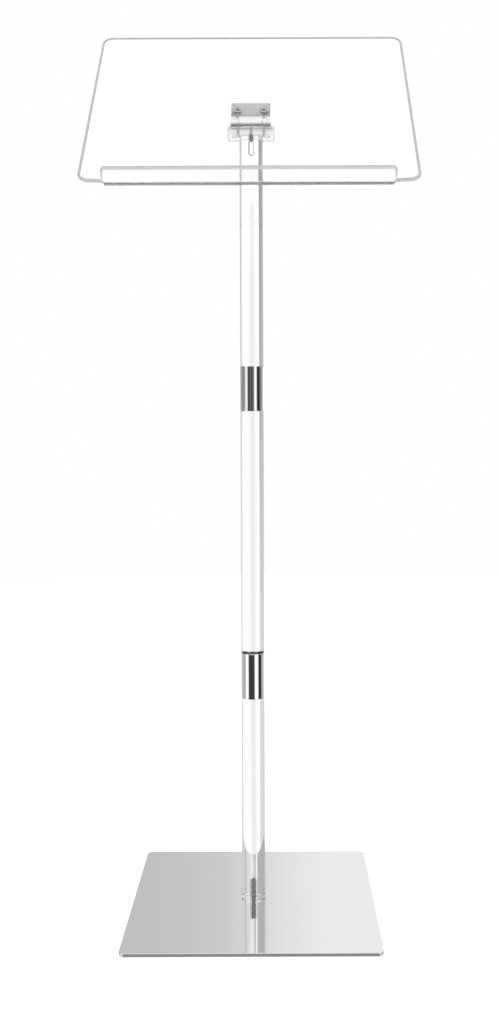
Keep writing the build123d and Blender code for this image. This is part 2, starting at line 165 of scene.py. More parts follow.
def rounded(profile, steps=5):
    """Turns (r, z, corner radius) rows into (z, r) rings with small arcs at the corners."""
    points = [np.array(row[:2], float) for row in profile]
    out = [points[0]]
    for k in range(1, len(profile) - 1):
        corner = points[k]
        back, ahead = points[k - 1] - corner, points[k + 1] - corner
        back_length, ahead_length = np.linalg.norm(back), np.linalg.norm(ahead)
        back, ahead = back / back_length, ahead / ahead_length
        half_angle = math.acos(max(-1, min(1, float(back @ ahead)))) / 2
        run = min(profile[k][2] / math.tan(half_angle), back_length * 0.45, ahead_length * 0.45)
        radius = run * math.tan(half_angle)
        bisector = (back + ahead) / np.linalg.norm(back + ahead)
        centre = corner + bisector * (radius / math.sin(half_angle))
        start, end = corner + back * run - centre, corner + ahead * run - centre
        sweep = math.acos(max(-1, min(1, float(start @ end) / (radius * radius))))
        for i in range(steps + 1):
            t = i / steps
            blend = math.sin((1 - t) * sweep) * start + math.sin(t * sweep) * end
            out.append(centre + blend / math.sin(sweep))
    out.append(points[-1])
    return [(z, r) for r, z in hold_straights(out)]


def arc(centre, radius, start, end, steps):
    """Points of an arc, with its angles in degrees."""
    turns = [math.radians(start + (end - start) * k / steps) for k in range(steps + 1)]
    return [(centre[0] + radius * math.cos(a), centre[1] + radius * math.sin(a)) for a in turns]


def rounded_rect(width, height, radius, steps, centre_y=0.0):
    x, y = width / 2 - radius, height / 2 - radius
    points = []
    for side_x, side_y, start in ((1, 1, 0), (-1, 1, 90), (-1, -1, 180), (1, -1, 270)):
        points += arc((side_x * x, centre_y + side_y * y), radius, start, start + 90, steps)
    return points


def inset(outline, distance):
    """A closed counter-clockwise outline moved inwards."""
    points = np.asarray(outline, float)
    edge_in, edge_out = points - np.roll(points, 1, 0), np.roll(points, -1, 0) - points
    edge_in /= np.linalg.norm(edge_in, axis=1)[:, None]
    edge_out /= np.linalg.norm(edge_out, axis=1)[:, None]
    normal_in = np.stack([-edge_in[:, 1], edge_in[:, 0]], 1)
    normal_out = np.stack([-edge_out[:, 1], edge_out[:, 0]], 1)
    normal = normal_in + normal_out
    normal /= np.linalg.norm(normal, axis=1)[:, None]
    cosine = np.clip((normal * normal_in).sum(1), 0.5, 1)
    return points + normal * (distance / cosine)[:, None]


def hex_radius(across_flats, segments):
    angle = np.arange(segments) * 2 * math.pi / segments
    return (across_flats / 2) / np.cos((angle % (math.pi / 3)) - math.pi / 6)


# ---------------------------------------------------------------- solids: (verts, faces)
def revolve(rings, segments, local=WORLD, closed=False, tips=None):
    """Skins (z, radius) rings round the local third axis; a radius may vary round the turn.
    Each end is drawn to a point on the axis at its tip z, by default the end ring's own z,
    or left open where the tip is None. A closed skin joins its last ring to its first."""
    angle = np.arange(segments) * 2 * math.pi / segments
    cosines, sines = np.cos(angle), np.sin(angle)
    verts, faces = [], []
    for z, radius in rings:
        verts.extend(zip(radius * cosines, radius * sines, [z] * segments))
    starts = [k * segments for k in range(len(rings))]
    following = starts[1:] + (starts[:1] if closed else [])
    for a, b in zip(starts, following):
        for i in range(segments):
            j = (i + 1) % segments
            faces.append((a + i, a + j, b + j, b + i))
    if closed:
        tips = (None, None)
    elif tips is None:
        tips = (rings[0][0], rings[-1][0])
    for start, tip, order in ((starts[0], tips[0], -1), (starts[-1], tips[1], 1)):
        if tip is None:
            continue
        centre = len(verts)
        verts.append((0, 0, tip))
        for i in range(segments):
            edge = (start + i, start + (i + 1) % segments)
            faces.append((centre, *edge[::order]))
    return local(verts), faces


def thread_rings(z0, z1, major_r, depth, pitch, segments, per_pitch=10):
    """Rings of a helical thread from z0 to z1, fading out at both ends."""
    turn = np.arange(segments) / segments
    count = max(2, int(abs(z1 - z0) / pitch * per_pitch))
    rings = []
    for k in range(count + 1):
        z = z0 + (z1 - z0) * k / count
        phase = (abs(z - z0) / pitch - turn) % 1.0
        crest = np.clip(1.25 - np.abs(phase - 0.5) * 3.2, 0.0, 1.0)
        fade = min(1.0, abs(z - z0) / (0.6 * pitch), abs(z1 - z) / (0.6 * pitch))
        rings.append((z, major_r - depth * (1 - crest * fade)))
    return rings


def screw(z_head, direction, head_r, head_h, shank_r, length, plain, pitch, thread_depth,
          socket, socket_depth, dome=0.0, segments=60, local=WORLD):
    """A countersunk hex-socket screw. The socket's mouth is at z_head and the tip points
    along direction, +1 or -1. The thread starts after the plain length."""
    hexagon = hex_radius(socket, segments)
    # distance from the mouth along the screw, radius
    head = [
        (socket_depth, hexagon * 0.55),
        (socket_depth - 0.25, hexagon),
        (0.18, hexagon),
        (0.0, hexagon + 0.18),
        (dome * 0.18, head_r * 0.62),
        (dome * 0.55, head_r * 0.84),
        (dome, head_r - 0.22),
        (dome + 0.06, head_r - 0.06),
        (dome + 0.25, head_r),
        (head_h - 0.1, shank_r + 0.12),
        (head_h + 0.1, shank_r - 0.02),
        (plain - 0.05, shank_r - 0.02),
    ]
    rings = [(z_head + direction * reach, radius) for reach, radius in head]
    rings += thread_rings(z_head + direction * plain, z_head + direction * (length - 0.7),
                          shank_r, thread_depth, pitch, segments)
    rings.append((z_head + direction * (length - 0.35), shank_r - thread_depth - 0.05))
    rings.append((z_head + direction * length, shank_r - thread_depth - 0.45))
    return revolve(rings, segments, local)


FACE_BOTTOM, FACE_TOP, FACE_RIM, FACE_HOLE = range(4)


def plate(outline, holes, z0, z1, rim_h, rim_steps, rim_w=None, weight=1.0):
    """A flat plate from z0 to z1 with rounded rims, rim_h high and rim_w wide; weight scales
    the width at each outline point. Holes are (x, y, [(z, radius), ...]) from z0 to z1.
    Returns vertices, faces and a FACE_ tag for each face."""
    rim_w = rim_h if rim_w is None else rim_w
    layers = []             # inset from the outline, z
    for k in range(rim_steps + 1):
        a = math.pi / 2 * k / rim_steps
        layers.append((rim_w * (1 - math.sin(a)), z0 + rim_h * (1 - math.cos(a))))
    if z1 - z0 > 1.0:
        layers += [(0.0, z0 + rim_h + 0.06), (0.0, z1 - rim_h - 0.06)]
    for k in range(rim_steps + 1):
        a = math.pi / 2 * (1 - k / rim_steps)
        layers.append((rim_w * (1 - math.sin(a)), z1 - rim_h * (1 - math.cos(a))))

    verts, faces, tags = [], [], []
    bottoms, tops = [], []

    def skin(rings, tag):
        count = len(rings[0])
        starts = [len(verts) + k * count for k in range(len(rings))]
        for ring in rings:
            verts.extend(ring)
        for a, b in zip(starts[:-1], starts[1:]):
            for i in range(count):
                j = (i + 1) % count
                if tag == FACE_HOLE:
                    faces.append((a + j, a + i, b + i, b + j))
                else:
                    faces.append((a + i, a + j, b + j, b + i))
                tags.append(tag)
        bottoms.append(list(range(starts[0], starts[0] + count)))
        tops.append(list(range(starts[-1], starts[-1] + count)))

    skin([[(x, y, z) for x, y in inset(outline, reach * weight)] for reach, z in layers],
         FACE_RIM)
    hole_segments = 48
    turns = [2 * math.pi * i / hole_segments for i in range(hole_segments)]
    for hole_x, hole_y, profile in holes:
        skin([[(hole_x + r * math.cos(a), hole_y + r * math.sin(a), z) for a in turns]
              for z, r in profile], FACE_HOLE)

    for loops, tag in ((bottoms, FACE_BOTTOM), (tops, FACE_TOP)):
        indices = [i for loop in loops for i in loop]
        for triangle in tessellate_polygon([[Vector(verts[i]) for i in loop] for loop in loops]):
            triangle = [indices[i] for i in triangle]
            p, q, r = (np.array(verts[i], float) for i in triangle)
            faces_up = np.cross(q - p, r - p)[2] > 0
            if faces_up != (tag == FACE_TOP):
                triangle = triangle[::-1]
            faces.append(tuple(triangle))
            tags.append(tag)
    return verts, faces, tags


def outward(verts, faces):
    """Turns the faces of a closed solid outwards, judged by its signed volume."""
    points = np.asarray(verts, float)
    volume = 0.0
    for face in faces:
        first = points[face[0]]
        for i in range(1, len(face) - 1):
            volume += np.dot(first, np.cross(points[face[i]], points[face[i + 1]]))
    if volume < 0:
        faces = [tuple(reversed(face)) for face in faces]
    return verts, faces


def joined(solids):
    verts, faces = [], []
    for solid in solids:
        solid_verts, solid_faces = outward(*solid)
        start = len(verts)
        verts.extend(solid_verts)
        faces.extend(tuple(i + start for i in face) for face in solid_faces)
    return verts, faces


# ---------------------------------------------------------------- objects
def link(obj):
    bpy.context.scene.collection.objects.link(obj)
    return obj


def place(obj, body, node):
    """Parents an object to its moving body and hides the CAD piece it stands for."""
    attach(obj, body)
    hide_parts(node)


def new_mesh(name, verts, faces, material):
    mesh = bpy.data.meshes.new(name)
    mesh.from_pydata([tuple(np.asarray(point, float) * MM) for point in verts], [], faces)
    mesh.materials.append(material)
    return mesh


def piece(name, solid, material, node, body="stand", sharp=40):
    """A smooth-shaded object from a solid; edges over the sharp angle, in degrees, stay crisp."""
    mesh = new_mesh(name, *outward(*solid), material)
    mesh.polygons.foreach_set("use_smooth", np.ones(len(mesh.polygons), bool))
    mesh.set_sharp_from_angle(angle=math.radians(sharp))
    mesh.validate()
    mesh.update()
    obj = link(bpy.data.objects.new(name, mesh))
    place(obj, body, node)
    return obj


def refined(name, node, materials, body, sharp, soften=None, lift=0.0):
    """The CAD solid with seams welded, flat faces merged, rims softened by the given function
    and the whole lifted along Z."""
    bm = bmesh.new()
    bm.from_mesh(NODES[node].data)
    bmesh.ops.remove_doubles(bm, verts=bm.verts, dist=2e-6)
    bmesh.ops.dissolve_limit(bm, angle_limit=math.radians(0.6), verts=bm.verts, edges=bm.edges)
    if soften:
        soften(bm)
    bmesh.ops.remove_doubles(bm, verts=bm.verts, dist=2e-6)
    for face in bm.faces:
        face.smooth = True
    bmesh.ops.translate(bm, verts=bm.verts, vec=Vector((0, 0, lift)) * MM)
    bmesh.ops.recalc_face_normals(bm, faces=bm.faces)
    mesh = bpy.data.meshes.new(name)
    bm.to_mesh(mesh)
    bm.free()
    for material in materials:
        mesh.materials.append(material)
    mesh.polygons.foreach_set("material_index", np.zeros(len(mesh.polygons), np.int32))
    mesh.set_sharp_from_angle(angle=math.radians(sharp))
    obj = link(bpy.data.objects.new(name, mesh))
    obj.modifiers.new("weighted", "WEIGHTED_NORMAL").keep_sharp = True
    place(obj, body, node)
    return obj


# ---------------------------------------------------------------- shader graphs
class Graph:
    """Adds and wires shader nodes. Any input may be a value or another node's output."""

    def __init__(self, tree):
        self.tree = tree
        self.tree.nodes.clear()

    def add(self, kind, **properties):
        node = self.tree.nodes.new(kind)
        for key, value in properties.items():
            setattr(node, key, value)
        return node

    def put(self, socket, value):
        if isinstance(value, bpy.types.NodeSocket):
            self.tree.links.new(value, socket)
        else:
            socket.default_value = value

    def fill(self, node, inputs):
        """Fills inputs by index or name and returns the node's first output."""
        for key, value in inputs.items():
            self.put(node.inputs[key], value)
        return node.outputs[0]

    def math(self, operation, a, b=0.0, c=0.0):
        node = self.add("ShaderNodeMath", operation=operation)
        return self.fill(node, {0: a, 1: b, 2: c})

    def remap(self, value, span, to=(0.0, 1.0), kind="LINEAR"):
        node = self.add("ShaderNodeMapRange", interpolation_type=kind)
        return self.fill(node, dict(enumerate((value, *span, *to))))

    def ramp(self, value, stops):
        """A grey ramp from (position, grey) stops."""
        node = self.add("ShaderNodeValToRGB")
        elements = node.color_ramp.elements
        while len(elements) > 1:
            elements.remove(elements[-1])
        elements[0].position = stops[0][0]
        elements[0].color = (*([stops[0][1]] * 3), 1)
        for position, grey in stops[1:]:
            elements.new(position).color = (grey, grey, grey, 1)
        return self.fill(node, {0: value})

    def mix_value(self, factor, a, b):
        return self.fill(self.add("ShaderNodeMix", data_type="FLOAT"), {0: factor, 2: a, 3: b})

    def mix_color(self, factor, a, b):
        node = self.add("ShaderNodeMix", data_type="RGBA")
        self.fill(node, {0: factor, 6: a, 7: b})
        return node.outputs[2]

    def mix_shader(self, factor, a, b):
        return self.fill(self.add("ShaderNodeMixShader"), {0: factor, 1: a, 2: b})

    def coords(self, scale=(1, 1, 1), turn=0.0):
        """Object coordinates, turned about Z in radians and scaled."""
        source = self.add("ShaderNodeTexCoord").outputs["Object"]
        node = self.add("ShaderNodeMapping")
        return self.fill(node, {0: source, "Scale": scale, "Rotation": (0, 0, turn)})

    def noise(self, vector, scale, detail, roughness, distortion=0.0):
        return self.fill(self.add("ShaderNodeTexNoise"), {
            "Vector": vector, "Scale": scale, "Detail": detail, "Roughness": roughness,
            "Distortion": distortion})

    def bump(self, height, strength, distance, normal=None):
        """A bump, laid over an earlier one where normal is given; distance in metres."""
        inputs = {"Strength": strength, "Distance": distance, "Height": height}
        if normal is not None:
            inputs["Normal"] = normal
        return self.fill(self.add("ShaderNodeBump"), inputs)

    def principled(self, **inputs):
        return self.fill(self.add("ShaderNodeBsdfPrincipled"),
                         {key.replace("_", " "): value for key, value in inputs.items()})

    def out(self, shader, kind="ShaderNodeOutputMaterial"):
        node = self.add(kind)
        self.put(node.inputs[0], shader)
        return node


def new_material(name):
    material = bpy.data.materials.new(name)
    material.use_nodes = True
    return material, Graph(material.node_tree)


# ---------------------------------------------------------------- materials
def acrylic(name, tint=(0.988, 0.988, 0.988), rough=0.0, smudge=0.02, wave=0.02,
            wave_scale=18.0, striation=0.0, body=0.0, body_grey=0.0):
    """Clear acrylic. Shadow and diffuse rays pass straight through it. It has faint smudges
    and a slight waviness; striation adds fine saw marks and body a share of matt grey."""
    material, g = new_material(name)
    vector = g.coords()
    broad = g.noise(vector, scale=14.0, detail=3.0, roughness=0.55)
    fine = g.noise(vector, scale=160.0, detail=5.0, roughness=0.6, distortion=0.4)
    patches = g.math("MULTIPLY", g.remap(broad, span=(0.52, 0.72)),
                     g.remap(fine, span=(0.35, 0.7), to=(0.2, 1.0)))
    roughness = g.math("ADD", g.remap(patches, span=(0.0, 1.0), to=(0.0, smudge)), rough)
    waves = g.noise(vector, scale=wave_scale, detail=2.0, roughness=0.4)
    normal = g.bump(waves, strength=wave, distance=0.0004)
    if striation:
        saw_marks = g.noise(g.coords(scale=(900.0, 900.0, 60.0)),
                            scale=1.0, detail=3.0, roughness=0.6)
        normal = g.bump(saw_marks, strength=striation, distance=0.00006, normal=normal)
    darker_tint = (tint[0] * 0.99, tint[1] * 0.99, tint[2] * 0.992, 1)
    base = g.mix_color(g.remap(fine, span=(0.3, 0.8), to=(0.0, 0.25)), (*tint, 1), darker_tint)
    shader = g.principled(Base_Color=base, Roughness=roughness, IOR=1.49,
                          Transmission_Weight=1.0, Normal=normal)
    if body:
        matt = g.fill(g.add("ShaderNodeBsdfDiffuse"), {"Color": (*[body_grey] * 3, 1)})
        shader = g.mix_shader(body, shader, matt)
    pass_through = g.fill(g.add("ShaderNodeBsdfTransparent"), {"Color": (0.96, 0.965, 0.965, 1)})
    rays = g.add("ShaderNodeLightPath").outputs
    lighting_ray = g.math("MAXIMUM", rays["Is Shadow Ray"], rays["Is Diffuse Ray"])
    output = g.out(g.mix_shader(lighting_ray, shader, pass_through))
    absorption = g.fill(g.add("ShaderNodeVolumeAbsorption"),
                        {"Color": (0.33, 0.33, 0.33, 1), "Density": 1.6})
    g.put(output.inputs["Volume"], absorption)
    return material


def metal(name, color, rough, vary, tone=0.94, scratch=0.0, dust=0.0, brushed=None,
          brushed_strength=0.0):
    """Bare metal. Clouds add up to vary to the roughness and darken the colour to tone;
    dust adds rough specks; brushed is the noise scale along each axis of a brushed grain."""
    material, g = new_material(name)
    vector = g.coords()
    clouds = g.noise(vector, scale=22.0, detail=4.0, roughness=0.55)
    roughness = g.math("ADD", rough, g.remap(clouds, span=(0.3, 0.75), to=(0.0, vary)))
    if dust:
        specks = g.noise(vector, scale=420.0, detail=3.0, roughness=0.6)
        roughness = g.math("ADD", roughness, g.remap(specks, span=(0.62, 0.75), to=(0.0, dust)))
    normal = None
    if scratch:
        # two families of hairlines, nearly along Y and nearly along X
        first = g.noise(g.coords(scale=(2600.0, 40.0, 40.0), turn=0.5),
                        scale=1.0, detail=2.0, roughness=0.5)
        second = g.noise(g.coords(scale=(34.0, 2200.0, 34.0), turn=-0.3),
                         scale=1.0, detail=2.0, roughness=0.5)
        lines = g.math("MAXIMUM", g.remap(first, span=(0.66, 0.8)),
                       g.remap(second, span=(0.68, 0.8)))
        normal = g.bump(lines, strength=scratch, distance=0.00002)
        roughness = g.math("ADD", roughness, g.math("MULTIPLY", lines, 0.05))
    if brushed:
        grain = g.noise(g.coords(scale=brushed), scale=1.0, detail=4.0, roughness=0.65)
        normal = g.bump(grain, strength=brushed_strength, distance=0.00003, normal=normal)
        roughness = g.math("ADD", roughness, g.remap(grain, span=(0.3, 0.7), to=(-0.05, 0.06)))
    base = g.mix_color(g.remap(clouds, span=(0.35, 0.7)),
                       (*color, 1), (*(channel * tone for channel in color), 1))
    inputs = {"Base_Color": base, "Metallic": 1.0, "Roughness": roughness}
    if normal is not None:
        inputs["Normal"] = normal
    g.out(g.principled(**inputs))
    return material


def plastic(name, color, rough, grain_strength):
    """Matt plastic or rubber with a fine grain and slightly darker clouds."""
    material, g = new_material(name)
    vector = g.coords()
    grain = g.noise(vector, scale=1500.0, detail=4.0, roughness=0.6)
    clouds = g.noise(vector, scale=60.0, detail=3.0, roughness=0.5)
    base = g.mix_color(g.remap(clouds, span=(0.3, 0.7)),
                       (*color, 1), (*(channel * 0.82 for channel in color), 1))
    roughness = g.math("ADD", rough, g.remap(grain, span=(0.3, 0.7), to=(-0.05, 0.08)))
    normal = g.bump(grain, strength=grain_strength, distance=0.0001)
    g.out(g.principled(Base_Color=base, Roughness=roughness, Normal=normal))
    return material


PANEL_FACE = acrylic("clear_acrylic_face")
ROD = acrylic("clear_acrylic_rod", wave=0.03, wave_scale=9.0)
PANEL_EDGE = acrylic("clear_acrylic_cut_edge", tint=(0.93, 0.94, 0.94), rough=0.22, smudge=0.1,
                     wave=0.1, wave_scale=120.0, striation=0.35, body=0.8, body_grey=0.48)
BLOCK = acrylic("clear_acrylic_block")
BLOCK_FRONT = acrylic("clear_acrylic_block_sides", tint=(0.93, 0.935, 0.935), rough=0.05,
                      smudge=0.04, wave=0.06, wave_scale=60.0, striation=0.12, body=0.5,
                      body_grey=0.74)
PAD = acrylic("clear_vinyl_pad", tint=(0.93, 0.94, 0.94), rough=0.35, smudge=0.1)
MIRROR = metal("mirror_steel", color=(0.93, 0.93, 0.93), rough=0.006, vary=0.006,
               scratch=0.012, dust=0.012, tone=0.992)
CHROME = metal("chrome_plate", color=(0.87, 0.872, 0.875), rough=0.02, vary=0.015,
               scratch=0.01, dust=0.02, tone=0.985)
HINGE = metal("hinge_stainless", color=(0.84, 0.84, 0.842), rough=0.14, vary=0.04,
              brushed=(60.0, 2600.0, 2600.0), brushed_strength=0.25, dust=0.05)
PIN_STEEL = metal("hinge_pin_steel", color=(0.7, 0.7, 0.71), rough=0.12, vary=0.04,
                  brushed=(2600.0, 200.0, 200.0), brushed_strength=0.1)
SCREW = metal("screw_steel", color=(0.66, 0.66, 0.665), rough=0.16, vary=0.1, dust=0.08)
STUD = metal("dark_stud_steel", color=(0.13, 0.13, 0.132), rough=0.2, vary=0.1, dust=0.08)
FOOT = plastic("foot_rubber", color=(0.16, 0.16, 0.165), rough=0.7, grain_strength=0.15)
BUSH = plastic("bush_acetal", color=(0.05, 0.05, 0.055), rough=0.35, grain_strength=0.05)

# shared by the block screw and the two panel screws
M5 = {"direction": -1, "head_h": 2.6, "shank_r": 2.5, "plain": 3.0, "pitch": 0.8,
      "socket": 3.0, "socket_depth": 1.8}


# ---------------------------------------------------------------- base
def build_base_plate():
    hole = [(BASE_LOW.z, 6.35), (BASE_LOW.z + 3.4, 3.2), (BASE_TOP, 3.2)]
    outline = rounded_rect(BASE_HIGH.x - BASE_LOW.x, BASE_HIGH.y - BASE_LOW.y,
                           radius=8.0, steps=20)
    verts, faces, tags = plate(outline, [(0, 0, hole)], BASE_LOW.z, BASE_TOP,
                               rim_h=0.6, rim_steps=5)
    obj = piece("base_plate_polished", (verts, faces), MIRROR, "base_plate",
                sharp=28)
    # the broad faces stay flat-shaded
    obj.data.polygons.foreach_set(
        "use_smooth", np.array([tag in (FACE_RIM, FACE_HOLE) for tag in tags]))


def build_base_pads():
    pad_r, edge_r = 11.0, 0.5
    offset = (FOOT_HIGH.x - FOOT_LOW.x) / 2 - pad_r
    top = FOOT_HIGH.z - 0.05
    # a shallow dimple in the underside, a rounded edge, then the side and the top
    rings = [(0.12, 4.0), (0.12, 5.0), (0.0, 5.4), (0.0, 9.6)]
    rings += [(edge_r * (1 - math.cos(a)), pad_r - edge_r + edge_r * math.sin(a))
              for a in np.linspace(0, math.pi / 2, 5)]
    rings += [(top, pad_r), (top, 10.0)]
    pads = [revolve(rings, 64, LocalFrame((side_x * offset, side_y * offset, 0)))
            for side_x in SIDES for side_y in SIDES]
    piece("base_pads", joined(pads), FOOT, "base_feet", sharp=32)


def build_base_screw():
    solid = screw(z_head=BASE_LOW.z + 0.02, direction=1, head_r=5.88, head_h=3.3, shank_r=3.0,
                  length=29.0, plain=4.4, pitch=1.0, thread_depth=0.3, socket=4.0,
                  socket_depth=2.2)
    piece("base_screw_m6", solid, STUD, "base_screw")


# ---------------------------------------------------------------- post
def spigot_end(sleeve_end, middle, side):
    """Profile rows of a rod end inside a sleeve, from the shoulder to the bottom of the stud
    hole. side is -1 for a rod below the sleeve's middle and +1 for one above it."""
    shoulder = sleeve_end + side * 0.05
    face = middle + side * 0.2
    hole_end = middle + side * STUD_HOLE_DEPTH
    return [
        (ROD_R, shoulder, 0.25),
        (SPIGOT_R, shoulder, 0.15),
        (SPIGOT_R, face, 0.5),
        (STUD_HOLE_R, face, 0.3),
        (STUD_HOLE_R, hole_end - side * 2.0, 0.3),
        (0, hole_end, 0),
    ]


def build_rods():
    """Three rods, from (r, z, corner radius) profiles that start and end on the axis."""
    foot, head = BASE_TOP + AIR_GAP, ROD_TOP - AIR_GAP
    foot_hole_r, head_hole_r = 3.05, 2.55
    rod_foot = [(0, BASE_TOP + 27.0, 0), (foot_hole_r, BASE_TOP + 25.5, 0.3),
                (foot_hole_r, foot, 0.2), (ROD_R, foot, 0.9)]
    rod_head = [(ROD_R, head, 0.35), (head_hole_r, head, 0.2),
                (head_hole_r, ROD_TOP - 22.6, 0.3), (0, ROD_TOP - 24.0, 0)]
    profiles = {
        "lower_rod": rod_foot + spigot_end(LOW_A, LOW_MID, -1),
        "middle_rod": spigot_end(LOW_B, LOW_MID, 1)[::-1] + spigot_end(UP_A, UP_MID, -1),
        "upper_rod": spigot_end(UP_B, UP_MID, 1)[::-1] + rod_head,
    }
    for node, profile in profiles.items():
        first, *rings, last = rounded(profile)
        solid = revolve(rings, POST_SEGMENTS, tips=(first[0], last[0]))
        piece(node + "_clear", solid, ROD, node, sharp=24)


def build_sleeves():
    inner = SLEEVE_R - SLEEVE_WALL
    for level, bottom, middle, top in (("lower", LOW_A, LOW_MID, LOW_B),
                                       ("upper", UP_A, UP_MID, UP_B)):
        loop = [(inner, middle, 0), (inner, bottom, 0.3), (SLEEVE_R, bottom, 0.35),
                (SLEEVE_R, top, 0.35), (inner, top, 0.3), (inner, middle + 0.01, 0)]
        piece(level + "_sleeve_chrome", revolve(rounded(loop), POST_SEGMENTS, closed=True),
              CHROME, level + "_coupling", sharp=30)


def build_studs():
    segments = 48
    end_r = 3.0
    thread_half = STUD_HALF_LENGTH - 0.4
    for level, middle in (("lower", LOW_MID), ("upper", UP_MID)):
        rings = [(middle - STUD_HALF_LENGTH, end_r)]
        rings += thread_rings(middle - thread_half, middle + thread_half, major_r=4.0,
                              depth=0.4, pitch=1.25, segments=segments)
        rings.append((middle + STUD_HALF_LENGTH, end_r))
        piece(level + "_stud_m8", revolve(rings, segments), STUD, level + "_joint_stud")


# ---------------------------------------------------------------- head block and hinge
def build_block():
    obj = refined("top_block_clear", "top_block", [BLOCK, BLOCK_FRONT], "stand",
                  sharp=20)
    for face in obj.data.polygons:
        near_front = face.center.y * PER_METRE < BLOCK_LOW.y + 3.5
        if face.normal.y < -0.5 and abs(face.normal.z) < 0.3 and near_front:
            face.material_index = 1


def build_block_screw():
    solid = screw(z_head=BLOCK_HIGH.z - 0.12, head_r=4.75, length=18.0, thread_depth=0.25, **M5)
    piece("block_screw_m5", solid, STUD, "block_screw")


def on_knuckle_rim(vert):
    """On the outer rim of a knuckle end face, beside the joint gaps."""
    x, y, z = np.array(vert.co) * PER_METRE
    radius = math.hypot(y - PIN[1], z - PIN[2])
    return abs(radius - KNUCKLE_R) < 0.12 and abs(abs(x) - 14.85) < 0.3


def soften_leaf(bm):
    """Wide bevels on the knuckle rims first, then a small radius on every sharp edge."""
    rims = [edge for edge in bm.edges if all(on_knuckle_rim(vert) for vert in edge.verts)
            and edge.calc_face_angle(0) > math.radians(60)]
    bmesh.ops.bevel(bm, geom=rims, offset=0.75 * MM, segments=2, profile=0.5, affect="EDGES",
                    clamp_overlap=False, offset_type="OFFSET")
    edges = [edge for edge in bm.edges if len(edge.link_faces) == 2
             and edge.calc_face_angle(0) > math.radians(50)]
    bmesh.ops.bevel(bm, geom=edges, offset=0.3 * MM, segments=3, profile=0.6, affect="EDGES",
                    clamp_overlap=True, offset_type="OFFSET")


def build_hinge_leaves():
    for level, body, lift in (("lower", "stand", 0.05), ("upper", "panel", 0.0)):
        refined("hinge_leaf_" + level, f"hinge_{level}_leaf", [HINGE], body,
                sharp=40, soften=soften_leaf, lift=lift)


def build_leaf_screws():
    screws = [screw(z_head=LEAF_TOP - 0.08, direction=-1, head_r=3.75, head_h=1.9, shank_r=2.0,
                    length=12.0, plain=2.3, pitch=0.7, thread_depth=0.22, socket=2.5,
                    socket_depth=1.3, segments=48, local=hole) for hole in LEAF_HOLES]
    piece("leaf_screws_m4", joined(screws), STUD, "leaf_screws")


def build_pin():
    end = box_mm("hinge_pin")[1].x
    # distance in from the pin's end, radius: dished in the middle, rounded at the rim
    tip = [(0.15, 0.5), (0.02, 1.0), (0.0, 1.7), (0.12, 2.15), (0.45, 2.46), (0.7, 2.5)]
    rings = [(-end + depth, r) for depth, r in tip] + [(end - depth, r) for depth, r in tip[::-1]]
    piece("hinge_pin_steel", revolve(rings, 64, PIN_AXIS), PIN_STEEL, "hinge_pin")


def build_bush():
    # x, radius at the right-hand end, from the outside inwards
    half = [(14.6, 3.47), (14.7, 3.3), (14.7, 2.75), (14.6, 2.6)]
    rings = [(-x, r) for x, r in half[::-1]] + half
    piece("hinge_bush", revolve(rings, 64, PIN_AXIS, closed=True), BUSH, "hinge_friction_bush",
          body="panel")


# ---------------------------------------------------------------- reading panel
def panel_outline():
    """The flat sheet's outline in (x, s), counter-clockwise, with the ledge unrolled."""
    half_w, half_ledge, corner = PANEL_W / 2, LEDGE_W / 2, PANEL_CORNER_R
    half_angle = math.degrees(math.acos(NOTCH_OUT / NOTCH_R))
    # the right-hand lower corner, the step in to the notch, the notch, then the ledge corner
    right = arc((half_w - corner, PANEL_S0 + corner), corner, 0, -90, 24)
    right += arc((half_ledge + 1.6, PANEL_S0 - 1.2), 1.2, 90, 150, 4)
    right += arc((NOTCH_X, NOTCH_S), NOTCH_R, 180 - half_angle + 6, 180 + half_angle - 4, 14)
    right += [(half_ledge, NOTCH_S - 5.6)]
    right += arc((half_ledge - LEDGE_CORNER_R, LIP_END + LEDGE_CORNER_R), LEDGE_CORNER_R,
                 0, -90, 12)
    left = [(-x, y) for x, y in reversed(right)]
    top = arc((-half_w + corner, PANEL_S1 - corner), corner, 180, 90, 24)
    top += arc((half_w - corner, PANEL_S1 - corner), corner, 90, 0, 24)
    return (right + left + top)[::-1]


def bend_up(s, m):
    """Moves a point of the flat sheet to its place on the bent ledge."""
    if s >= BEND_START:
        return s, m
    radius = BEND_R - (m - PANEL_M0)
    centre_m = PANEL_M0 + BEND_R
    if s > BEND_END:
        turn = (BEND_START - s) / BEND_MID_R
        return BEND_START - radius * math.sin(turn), centre_m - radius * math.cos(turn)
    return BEND_START - radius, centre_m + (BEND_END - s)


